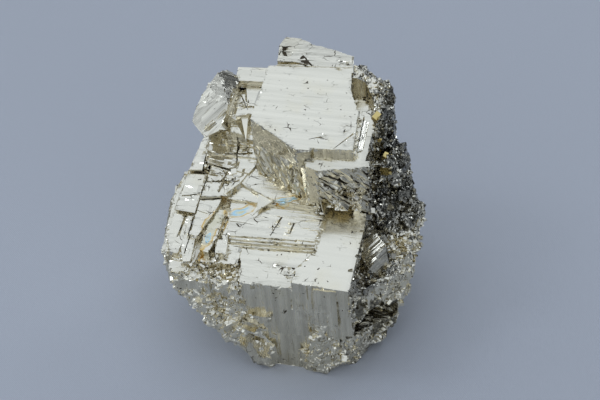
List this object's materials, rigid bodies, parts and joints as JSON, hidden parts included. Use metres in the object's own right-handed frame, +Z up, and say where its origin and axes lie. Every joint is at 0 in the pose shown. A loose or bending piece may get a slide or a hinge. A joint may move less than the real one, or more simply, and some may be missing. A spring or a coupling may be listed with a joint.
{
  "type": "pyrite crystal cluster",
  "caption": "Free-standing mineral specimen: stepped, striated cube-habit pyrite crystals grown into one another on a rough lump of massive pyrite.",
  "frame": {"origin": "middle of the bounding box at the height of the flat underside that the specimen rests on", "axes": "+Z up from the resting face, -Y towards the steep striated crystal face at the front, +X towards the rough right side"},
  "size_m": [0.0546, 0.0566, 0.0515],
  "materials": {
    "pyrite": "natural pale brass-yellow to silvery metallic lustre, mirror-bright and finely striated on the crystal faces, sparkling and darker on the broken sides, faint blue and orange tarnish"
  },
  "bodies": {
    "root": {"pyrite": "pyrite"}
  },
  "joints": []
}
